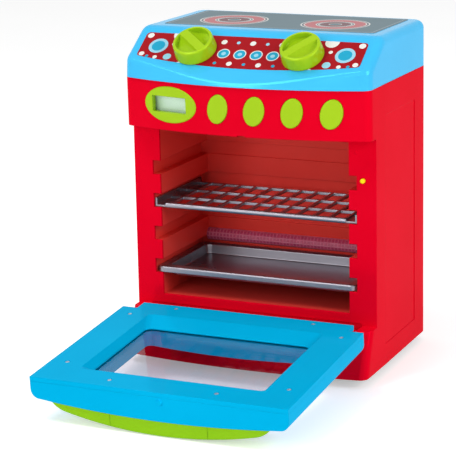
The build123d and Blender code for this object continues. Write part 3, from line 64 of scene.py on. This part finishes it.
back = Vector((
    sin(camera_yaw) * cos(camera_pitch),
    -cos(camera_yaw) * cos(camera_pitch),
    sin(camera_pitch),
))
level_right = Vector((cos(camera_yaw), sin(camera_yaw), 0))
level_up = back.cross(level_right)
right = level_right * cos(camera_roll) + level_up * sin(camera_roll)
up = level_up * cos(camera_roll) - level_right * sin(camera_roll)

lens = bpy.data.cameras.new("camera")
lens.sensor_width = 36.0
lens.lens = lens.sensor_width * focal_px / image_px
lens.shift_x = 0.5 - centre_px[0] / image_px
lens.shift_y = centre_px[1] / image_px - 0.5
camera = bpy.data.objects.new("camera", lens)
bpy.context.scene.collection.objects.link(camera)
turn = Matrix((right, up, back)).transposed().to_4x4()
camera.matrix_world = Matrix.Translation(camera_place) @ turn
bpy.context.scene.camera = camera

# ---- Materials -------------------------------------------------------------


def linear(colour):
    """Scene-linear value of an 8-bit display colour."""
    out = []
    for value in colour:
        share = value / 255
        out.append(share / 12.92 if share <= 0.04045 else ((share + 0.055) / 1.055) ** 2.4)
    return (*out, 1.0)


noise_span = (0.3, 0.7)     # most of a noise's values lie between these
edge_samples = 8


class Finish:
    """A node material that reads Object coordinates."""

    def __init__(self, name):
        self.material = bpy.data.materials.new(name)
        self.material.use_nodes = True
        self.tree = self.material.node_tree
        self.shader = self.tree.nodes["Principled BSDF"]
        self.place = self.node("ShaderNodeTexCoord").outputs["Object"]

    def node(self, kind, **values):
        made = self.tree.nodes.new(kind)
        for key, value in values.items():
            setattr(made, key, value)
        return made

    def link(self, source, target):
        self.tree.links.new(source, target)

    def noise(self, scale, detail=3.0):
        made = self.node("ShaderNodeTexNoise")
        made.inputs["Scale"].default_value = scale
        made.inputs["Detail"].default_value = detail
        self.link(self.place, made.inputs["Vector"])
        return made.outputs["Fac"]

    def math(self, operation, first, second=0.0):
        """A sum on two values, each a number or a socket."""
        made = self.node("ShaderNodeMath", operation=operation)
        for index, value in enumerate((first, second)):
            if isinstance(value, (int, float)):
                made.inputs[index].default_value = value
            else:
                self.link(value, made.inputs[index])
        return made.outputs["Value"]

    def vector(self, operation, first, second):
        made = self.node("ShaderNodeVectorMath", operation=operation)
        for index, value in enumerate((first, second)):
            if isinstance(value, (tuple, Vector)):
                made.inputs[index].default_value = value
            else:
                self.link(value, made.inputs[index])
        return made.outputs["Value" if operation == "DISTANCE" else "Vector"]

    def spread(self, source, low, high):
        """A noise moved to run between two values."""
        made = self.node("ShaderNodeMapRange")
        made.inputs["From Min"].default_value, made.inputs["From Max"].default_value = noise_span
        made.inputs["To Min"].default_value = low
        made.inputs["To Max"].default_value = high
        self.link(source, made.inputs["Value"])
        return made.outputs["Result"]

    def mix(self, share, first, second):
        """Colour between two, each a display colour or a socket."""
        made = self.node("ShaderNodeMix", data_type="RGBA")
        self.link(share, made.inputs["Factor"])
        for colour, key in ((first, 6), (second, 7)):
            if isinstance(colour, tuple):
                made.inputs[key].default_value = linear(colour)
            else:
                self.link(colour, made.inputs[key])
        return made.outputs[2]

    def drift(self, colour, amount, scale=14.0):
        """Faint broad variation of a colour."""
        darker = tuple(max(0, value - amount) for value in colour)
        lighter = tuple(min(255, value + amount) for value in colour)
        return self.mix(self.noise(scale), darker, lighter)

    def colour(self, source):
        self.link(source, self.shader.inputs["Base Color"])

    def roughness(self, middle, swing=0.15, scale=7.0):
        wear = self.spread(self.noise(scale, 1.0), middle * (1 - swing), middle * (1 + swing))
        self.link(wear, self.shader.inputs["Roughness"])

    def bump(self, height, distance):
        """Fine relief that light alone shows."""
        made = self.node("ShaderNodeBump")
        made.inputs["Distance"].default_value = distance
        self.link(height, made.inputs["Height"])
        self.link(made.outputs["Normal"], self.shader.inputs["Normal"])

    def soft_edges(self, radius):
        """Light rounds the edges by this much, as a mould's corners do."""
        made = self.node("ShaderNodeBevel", samples=edge_samples)
        made.inputs["Radius"].default_value = radius
        self.link(made.outputs["Normal"], self.shader.inputs["Normal"])

    def gloss(self, metallic=0.0, specular=0.5):
        self.shader.inputs["Metallic"].default_value = metallic
        self.shader.inputs["Specular IOR Level"].default_value = specular


edge_radius = 0.9 * mm

# Share of each gloss that takes the material's own tint
plastic_tint = 0.1
skin_tint = 0.08
silver_tint = 0.88
steel_tint = 0.6


def moulded(name, colour, roughness=0.25, amount=5, shine=0.04):
    """Injection-moulded plastic: faint colour drift, and a soft gloss in its own tint."""
    finish = Finish(name)
    finish.colour(finish.drift(colour, amount))
    finish.roughness(roughness)
    finish.gloss(metallic=plastic_tint, specular=shine)
    finish.soft_edges(edge_radius)
    return finish


def painted_silver(name, colour, roughness=0.3):
    """Silver-sprayed plastic: a faint cloudiness and a satin gloss."""
    finish = Finish(name)
    finish.colour(finish.drift(colour, 6, 30.0))
    finish.roughness(roughness)
    finish.gloss(metallic=silver_tint)
    finish.soft_edges(edge_radius)
    return finish


def plain_metal(name, colour, roughness=0.3):
    """Zinc-plated steel, slightly clouded."""
    finish = Finish(name)
    finish.colour(finish.drift(colour, 12, 120.0))
    finish.roughness(roughness)
    finish.gloss(metallic=steel_tint)
    return finish


head_on_mirror = 0.03       # least share of a clear sheet's light that is mirrored


def clear_sheet(name, tint, mirror):
    """Thin clear plastic: what lies behind shows, with a soft reflection at a slant."""
    finish = Finish(name)
    tree = finish.tree
    tree.nodes.remove(finish.shader)
    output = tree.nodes["Material Output"]
    through = finish.node("ShaderNodeBsdfTransparent")
    through.inputs["Color"].default_value = linear(tint)
    gloss = finish.node("ShaderNodeBsdfGlossy")
    finish.link(finish.spread(finish.noise(30.0), 0.02, 0.05), gloss.inputs["Roughness"])
    slant = finish.node("ShaderNodeLayerWeight")
    slant.inputs["Blend"].default_value = 0.5
    steep = finish.math("POWER", slant.outputs["Facing"], 3.0)
    share = finish.math("MULTIPLY_ADD", steep, mirror)
    share.node.inputs[2].default_value = head_on_mirror
    blend = finish.node("ShaderNodeMixShader")
    finish.link(share, blend.inputs["Fac"])
    finish.link(through.outputs["BSDF"], blend.inputs[1])
    finish.link(gloss.outputs["BSDF"], blend.inputs[2])
    finish.link(blend.outputs["Shader"], output.inputs["Surface"])
    return finish


# Printed skins on the cap

hob_low, hob_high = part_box("hob_label")
hob_middle = (hob_low + hob_high) / 2
ring_centre = (57.5 * mm, 88.0 * mm)
hob_border_inset = 3.2 * mm
hob_line_width = 0.8 * mm
white_ink = (228, 226, 222)
pink_ink = (196, 132, 136)
ash_ink = (140, 116, 120)
border_ink = (176, 190, 198)
hob_tone = (124, 141, 148)

# Rings of each hob: inner and outer radius in millimetres, ink
hob_rings = (
    (20.5, 33.2, pink_ink),
    (6.5, 16.0, ash_ink),
    (35.0, 36.3, white_ink),
    (31.8, 32.8, white_ink),
    (19.4, 20.4, white_ink),
    (16.6, 17.8, white_ink),
    (6.2, 7.0, white_ink),
)


def between(finish, value, low, high):
    """One where the value lies between two limits."""
    above = finish.math("GREATER_THAN", value, low)
    below = finish.math("LESS_THAN", value, high)
    return finish.math("MULTIPLY", above, below)


def hob_print():
    """Grey hob skin with a fine border line and two sets of plain rings."""
    finish = Finish("hob_print")
    tone = finish.drift(hob_tone, 4)
    axes = finish.node("ShaderNodeSeparateXYZ")
    finish.link(finish.place, axes.inputs["Vector"])
    across = finish.math("ABSOLUTE", axes.outputs["X"])
    along_x = finish.math("SUBTRACT", across, ring_centre[0])
    along_y = finish.math("SUBTRACT", axes.outputs["Y"], ring_centre[1])
    square_x = finish.math("POWER", along_x, 2.0)
    square_y = finish.math("POWER", along_y, 2.0)
    radius = finish.math("SQRT", finish.math("ADD", square_x, square_y))
    for low, high, ink in hob_rings:
        tone = finish.mix(between(finish, radius, low * mm, high * mm), tone, ink)
    half_width = (hob_high.x - hob_low.x) / 2 - hob_border_inset
    half_depth = (hob_high.y - hob_low.y) / 2 - hob_border_inset
    beside = finish.math("SUBTRACT", across, half_width)
    behind = finish.math("ABSOLUTE", finish.math("SUBTRACT", axes.outputs["Y"], hob_middle.y))
    beyond = finish.math("SUBTRACT", behind, half_depth)
    edge = finish.math("MAXIMUM", beside, beyond)
    tone = finish.mix(between(finish, edge, -hob_line_width, 0.0), tone, border_ink)
    finish.colour(tone)
    finish.roughness(0.2)
    finish.gloss(metallic=skin_tint, specular=0.0)
    return finish


# The panel's own axes start midway between the knobs, and rise with its slope
knob_joint = joints["knob_right_turn"]
knob_line = Vector((0, *knob_joint["pos_m"][1:]))
panel_slope = atan2(-knob_joint["axis"][1], knob_joint["axis"][2])
panel_tone = (160, 22, 30)
sky_ink = (150, 206, 226)
cyan_ink = (38, 160, 196)


def panel_dots():
    """Plain dots in rows: place on the panel in millimetres, radius, ink."""
    dots = []
    for k in range(4):
        x = -27.0 + 18.0 * k
        dots += [(x, -2.9, 6.8, white_ink), (x, -2.9, 5.8, cyan_ink), (x, -2.9, 2.4, sky_ink)]
    for k in range(5):
        x = -32.0 + 16.0 * k
        dots.append((x, 13.6, 2.0 if k % 2 else 3.2, sky_ink if k % 2 else white_ink))
        dots.append((x, -16.9, 3.0 if k % 2 else 1.9, white_ink if k % 2 else cyan_ink))
    for side in (-1, 1):
        for x, y, radius, ink in (
            (103.0, 3.5, 10.5, sky_ink),
            (103.0, 3.5, 7.2, cyan_ink),
            (84.0, 21.0, 7.5, white_ink),
            (117.0, 18.0, 3.6, white_ink),
            (117.5, -9.0, 3.0, white_ink),
            (87.5, -11.5, 4.4, sky_ink),
            (101.0, -13.0, 2.4, white_ink),
            (110.5, -12.0, 1.8, cyan_ink),
            (86.5, 7.0, 2.2, white_ink),
            (72.0, -20.5, 2.4, white_ink),
        ):
            dots.append((side * x, y, radius, ink))
    return dots


def panel_print():
    """Dark red panel skin with plain dots."""
    finish = Finish("panel_print")
    tone = finish.drift(panel_tone, 6)
    flat = finish.node("ShaderNodeMapping", vector_type="TEXTURE")
    flat.inputs["Location"].default_value = knob_line
    flat.inputs["Rotation"].default_value = (panel_slope, 0, 0)
    finish.link(finish.place, flat.inputs["Vector"])
    level = finish.vector("MULTIPLY", flat.outputs["Vector"], (1, 1, 0))
    for x, y, radius, ink in panel_dots():
        reach = finish.vector("DISTANCE", level, (x * mm, y * mm, 0))
        tone = finish.mix(finish.math("LESS_THAN", reach, radius * mm), tone, ink)
    finish.colour(tone)
    finish.roughness(0.25)
    finish.gloss(metallic=skin_tint, specular=0.04)
    return finish


rib_pitch = 4 * mm
rib_height = 0.35 * mm


def ribbed_lens(name, valley, crown):
    """Tinted lens with a moulded grid of fine ribs, whose crowns are painted lighter as a
    painted highlight.
    """
    finish = Finish(name)
    ribs = []
    for direction in ("X", "Z"):
        wave = finish.node("ShaderNodeTexWave", bands_direction=direction)
        wave.inputs["Scale"].default_value = pi / (10 * rib_pitch)
        finish.link(finish.place, wave.inputs["Vector"])
        ribs.append(finish.math("POWER", wave.outputs["Fac"], 4.0))
    grid = finish.math("MAXIMUM", *ribs)
    # Painted highlight: the rib crowns take the lighter crown colour
    finish.colour(finish.mix(grid, valley, crown))
    finish.roughness(0.28)
    finish.bump(grid, rib_height)
    finish.gloss(specular=0.4)
    return finish


red = moulded("glossy_red", (222, 4, 34), roughness=0.14, shine=0.0)
cavity_red = moulded("cavity_orange_red", (230, 64, 56), roughness=0.25)
sky_blue = moulded("sky_blue", (64, 186, 238), roughness=0.17, shine=0.05)
door_blue = moulded("door_blue", (0, 174, 224), roughness=0.13, shine=0.0)
lime = moulded("lime", (160, 198, 24), roughness=0.18, shine=0.1)
grip_lime = moulded("grip_lime", (142, 194, 24), roughness=0.25)
yellow = moulded("yellow", (252, 220, 20), roughness=0.2, shine=0.1)
magenta = ribbed_lens("magenta_lens", (186, 66, 104), (212, 108, 138))
black = moulded("black_plastic", (30, 30, 32), roughness=0.5)
white = moulded("white_plastic", (225, 225, 220), roughness=0.4)
board_green = moulded("circuit_board", (12, 84, 40), roughness=0.4)
lcd_grey = moulded("lcd_grey", (238, 250, 241), roughness=0.3, amount=3)
cell_sleeve = moulded("cell_sleeve", (40, 42, 60), roughness=0.25)
silver = painted_silver("silver_paint", (136, 134, 142), roughness=0.3)
steel = plain_metal("steel", (176, 190, 204))
door_clear = clear_sheet("door_clear", (238, 237, 241), mirror=0.15)
display_clear = clear_sheet("display_clear", (248, 252, 250), mirror=0.1)
hob_grey = hob_print()
panel_red = panel_print()

finishes = {
    "front_housing": red,
    "rear_cover": red,
    "battery_door": red,
    "oven_cavity": cavity_red,
    "top_cap": sky_blue,
    "door_inner_frame": door_blue,
    "door_outer_frame": door_blue,
    "door_handle": grip_lime,
    "knob_left": lime,
    "knob_right": lime,
    "display_bezel": lime,
    "button_left": lime,
    "button_mid_left": lime,
    "button_mid_right": lime,
    "button_right": lime,
    "door_switch_plunger": yellow,
    "heater_lens": magenta,
    "hob_label": hob_grey,
    "control_label": panel_red,
    "lcd_module": lcd_grey,
    "display_lens": display_clear,
    "door_window": door_clear,
    "rack": silver,
    "tray": silver,
    "knob_left_clip": white,
    "knob_right_clip": white,
    "button_board": board_green,
    "main_board": board_green,
    "lamp_board": board_green,
    "batteries": cell_sleeve,
}
black_nodes = (
    "base_plate",
    "power_slider",
    "power_switch",
    "battery_box",
    "door_switch",
    "speaker",
)
for name, node in nodes.items():
    finish = finishes.get(name, black if name in black_nodes else steel)
    node.data.materials.clear()
    node.data.materials.append(finish.material)

# ---- Rolled lip of the tray --------------------------------------------------

lip_radius = 0.7 * mm
lip_segments = 3
weld_gap = 0.002 * mm       # a solid's faces are joined across this


def roll_edges(node, width):
    """Joins a solid's faces and rounds its sharp edges with modifiers."""
    join = node.modifiers.new("join", "WELD")
    join.merge_threshold = weld_gap
    flat = node.modifiers.new("flat", "DECIMATE")
    flat.decimate_type = "DISSOLVE"
    flat.angle_limit = radians(0.1)
    flat.delimit = {"NORMAL"}
    edge = node.modifiers.new("edge", "BEVEL")
    edge.width = width
    edge.segments = lip_segments
    edge.limit_method = "ANGLE"
    edge.angle_limit = radians(30)
    edge.use_clamp_overlap = False
    shade = node.modifiers.new("shade", "WEIGHTED_NORMAL")
    shade.keep_sharp = True


roll_edges(nodes["tray"], lip_radius)

# ---- Screws with cross recesses ---------------------------------------------

rim_corners = 24
same_place = 0.001 * mm
crown_depth = 0.01 * mm     # corners this near a head's top belong to its crown

# Shares of a screw's head and shank
crown_share = 0.82          # of the top radius, where the crown is flat
shoulder_share = 0.2        # of the height, where the crown ends
tip_share = 0.3             # of the shank, at its point
mouth_arm, mouth_half_width = 0.56, 0.13
recess_depth = 0.55
recess_taper = 0.72


def lathe(mesh, seat, profile):
    """Skin of revolution about the seat's axis, with its two ends open."""
    points = [mesh.verts.new(seat @ Vector((radius, 0, level))) for radius, level in profile]
    edges = [mesh.edges.new(pair) for pair in zip(points, points[1:])]
    bmesh.ops.spin(
        mesh,
        geom=points + edges,
        cent=seat.translation,
        axis=seat.col[2].xyz,
        angle=2 * pi,
        steps=rim_corners,
        use_merge=True,
    )


def rim(mesh, seat, radius, level):
    """Open edges of a skin at one radius and level."""
    at_rim = set()
    for vert in mesh.verts:
        x, y, height = seat.inverted() @ vert.co
        if abs(height - level) < same_place and abs(hypot(x, y) - radius) < same_place:
            at_rim.add(vert)
    return [e for e in mesh.edges if e.is_boundary and at_rim.issuperset(e.verts)]


def cross(mesh, seat, arm, half_width):
    """Cross outline of edges about the seat's axis."""
    corners = []
    for quarter in range(4):
        spin = Matrix.Rotation(quarter * pi / 2, 4, "Z")
        for x, y in ((arm, -half_width), (arm, half_width), (half_width, half_width)):
            corners.append(seat @ spin @ Vector((x, y, 0)))
    verts = [mesh.verts.new(corner) for corner in corners]
    return [mesh.edges.new((a, b)) for a, b in zip(verts, verts[1:] + verts[:1])]


def add_screw(mesh, centre, axis, length, head, shank):
    """Pan-head screw: a crowned head with a cross recess, and a pointed shank."""
    radius, height, top_radius = head
    turn = Vector(axis).to_track_quat("Z", "Y").to_matrix().to_4x4()
    seat = Matrix.Translation(centre) @ turn
    profile = (
        (top_radius * crown_share, 0),
        (top_radius, -height * shoulder_share),
        (radius, -height),
        (shank, -height),
        (shank, -length + shank),
        (shank * tip_share, -length),
    )
    lathe(mesh, seat, profile)
    mouth = cross(mesh, seat, radius * mouth_arm, radius * mouth_half_width)
    bmesh.ops.triangle_fill(mesh, edges=rim(mesh, seat, *profile[0]) + mouth, use_beauty=True)
    bmesh.ops.triangle_fill(mesh, edges=rim(mesh, seat, *profile[-1]), use_beauty=True)
    plug = bmesh.ops.contextual_create(mesh, geom=mouth)["faces"]
    recess = bmesh.ops.extrude_discrete_faces(mesh, faces=plug)["faces"][0]
    lower = Matrix.Translation((0, 0, -height * recess_depth)) @ Matrix.Scale(recess_taper, 4)
    bmesh.ops.transform(mesh, matrix=seat @ lower @ seat.inverted(), verts=recess.verts)


def screw_places(node, axis):
    """Head centre and length of each screw in a node, found from its mesh."""
    mesh = bmesh.new()
    mesh.from_mesh(nodes[node].data)
    bmesh.ops.remove_doubles(mesh, verts=mesh.verts, dist=weld_gap)
    left = set(mesh.verts)
    places = []
    while left:
        group = {left.pop()}
        newest = set(group)
        while newest:
            near = {e.other_vert(v) for v in newest for e in v.link_edges}
            newest = near - group
            group |= near
        left -= group
        # In the mesh's own order, so that each run adds up the same
        corners = [vert.co for vert in mesh.verts if vert in group]
        heights = [corner.dot(axis) for corner in corners]
        crown = [corner for corner in corners if corner.dot(axis) > max(heights) - crown_depth]
        middle = sum(crown, Vector()) / len(crown)
        places.append((middle, max(heights) - min(heights)))
    mesh.free()
    return sorted(places, key=lambda place: tuple(place[0]))


def cross_head_screws(name, node, body, axis, head, shank):
    """Screws that stand for a node's plain ones."""
    axis = Vector(axis).normalized()
    mesh = bmesh.new()
    for middle, length in screw_places(node, axis):
        add_screw(mesh, middle, axis, length, head, shank)
    bmesh.ops.recalc_face_normals(mesh, faces=mesh.faces)
    # Listed by place, because bmesh may list them in another order each run
    mesh.verts.sort(key=lambda vert: vert.co.dot(listing_axis))
    mesh.faces.sort(key=lambda face: face.calc_center_median().dot(listing_axis))
    data = bpy.data.meshes.new(name)
    mesh.to_mesh(data)
    mesh.free()
    data.materials.append(steel.material)
    piece = bpy.data.objects.new(name, data)
    bpy.context.scene.collection.objects.link(piece)
    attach(piece, body)
    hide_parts(node)


listing_axis = Vector((1.0, 0.7321, 0.5179))    # along no edge of a screw

# Radius, height and top radius of a head, and radius of its shank
small_head = (2.3 * mm, 1.2 * mm, 2.1 * mm)
small_shank = 1.3 * mm
pan_head = (3.0 * mm, 2.0 * mm, 2.55 * mm)
pan_shank = 1.5 * mm

# Door screws stand square to the lowered door
door_lean = radians(joints["door_hinge"]["range_deg"][1] - 90)
door_up = (0, -sin(door_lean), cos(door_lean))
rearward = (0, 1, 0)
downward = (0, 0, -1)

for piece, node, body, axis, head, shank in (
    ("door_cross_screws", "door_screws", "door", door_up, small_head, small_shank),
    ("grip_cross_screws", "handle_screws", "door", door_up, small_head, small_shank),
    ("hatch_cross_screw", "battery_door_screw", "oven", rearward, pan_head, pan_shank),
    ("cover_cross_screws", "housing_screws", "oven", rearward, pan_head, pan_shank),
    ("base_cross_screws", "base_screws", "oven", downward, pan_head, pan_shank),
):
    cross_head_screws(piece, node, body, axis, head, shank)

# ---- Floor, backdrop and light ---------------------------------------------

floor_half = 6.0
paper_shades = (247, 247, 247), (252, 252, 252)
paper_glow = 0.42
room_light = 0.5


def shows_background(tree):
    """One for rays from the camera, off a gloss or through glass, and nought for the rest."""
    path = tree.nodes.new("ShaderNodeLightPath")
    share = path.outputs["Is Camera Ray"]
    for ray in ("Is Glossy Ray", "Is Transmission Ray"):
        either = tree.nodes.new("ShaderNodeMath")
        either.operation = "MAXIMUM"
        tree.links.new(share, either.inputs[0])
        tree.links.new(path.outputs[ray], either.inputs[1])
        share = either.outputs["Value"]
    return share


paper = Finish("paper")
paper.colour(paper.mix(paper.noise(3.0), *paper_shades))
paper.shader.inputs["Roughness"].default_value = 0.9
paper.gloss(specular=0.0)
glow = paper.node("ShaderNodeEmission")
seen_glow = paper.math("MULTIPLY", shows_background(paper.tree), paper_glow)
paper.link(seen_glow, glow.inputs["Strength"])
both = paper.node("ShaderNodeAddShader")
paper.link(paper.shader.outputs["BSDF"], both.inputs[0])
paper.link(glow.outputs["Emission"], both.inputs[1])
paper.link(both.outputs["Shader"], paper.tree.nodes["Material Output"].inputs["Surface"])

floor_mesh = bmesh.new()
bmesh.ops.create_grid(floor_mesh, x_segments=1, y_segments=1, size=floor_half)
floor_data = bpy.data.meshes.new("floor")
floor_mesh.to_mesh(floor_data)
floor_mesh.free()
floor_data.materials.append(paper.material)
floor = bpy.data.objects.new("floor", floor_data)
bpy.context.scene.collection.objects.link(floor)

world = bpy.data.worlds.new("studio")
bpy.context.scene.world = world
world.use_nodes = True
sky = world.node_tree
soft = sky.nodes["Background"]
soft.inputs["Color"].default_value = (1, 1, 1, 1)
soft.inputs["Strength"].default_value = room_light
plain = sky.nodes.new("ShaderNodeBackground")
plain.inputs["Color"].default_value = (1, 1, 1, 1)
plain.inputs["Strength"].default_value = 1.0
choose = sky.nodes.new("ShaderNodeMixShader")
sky.links.new(shows_background(sky), choose.inputs["Fac"])
sky.links.new(soft.outputs[0], choose.inputs[1])
sky.links.new(plain.outputs[0], choose.inputs[2])
sky.links.new(choose.outputs[0], sky.nodes["World Output"].inputs["Surface"])


def softbox(name, place, target, size, power):
    """Rectangular lamp that faces a point."""
    lamp = bpy.data.lights.new(name, "AREA")
    lamp.shape = "RECTANGLE"
    lamp.size, lamp.size_y = size
    lamp.energy = power
    holder = bpy.data.objects.new(name, lamp)
    bpy.context.scene.collection.objects.link(holder)
    aim = Vector(target) - Vector(place)
    turn = aim.to_track_quat("-Z", "Y").to_matrix().to_4x4()
    holder.matrix_world = Matrix.Translation(place) @ turn


softbox("key_light", (-0.6, -2.3, 1.0), (0, 0, 0.15), (1.2, 1.2), 18)
softbox("fill_light", (2.1, -0.5, 1.1), (0, 0, 0.15), (1.0, 1.4), 25)
softbox("top_light", (-0.75, -0.7, 2.0), (0, -0.1, 0.1), (0.8, 0.8), 14)

bpy.context.scene.view_settings.view_transform = "Standard"
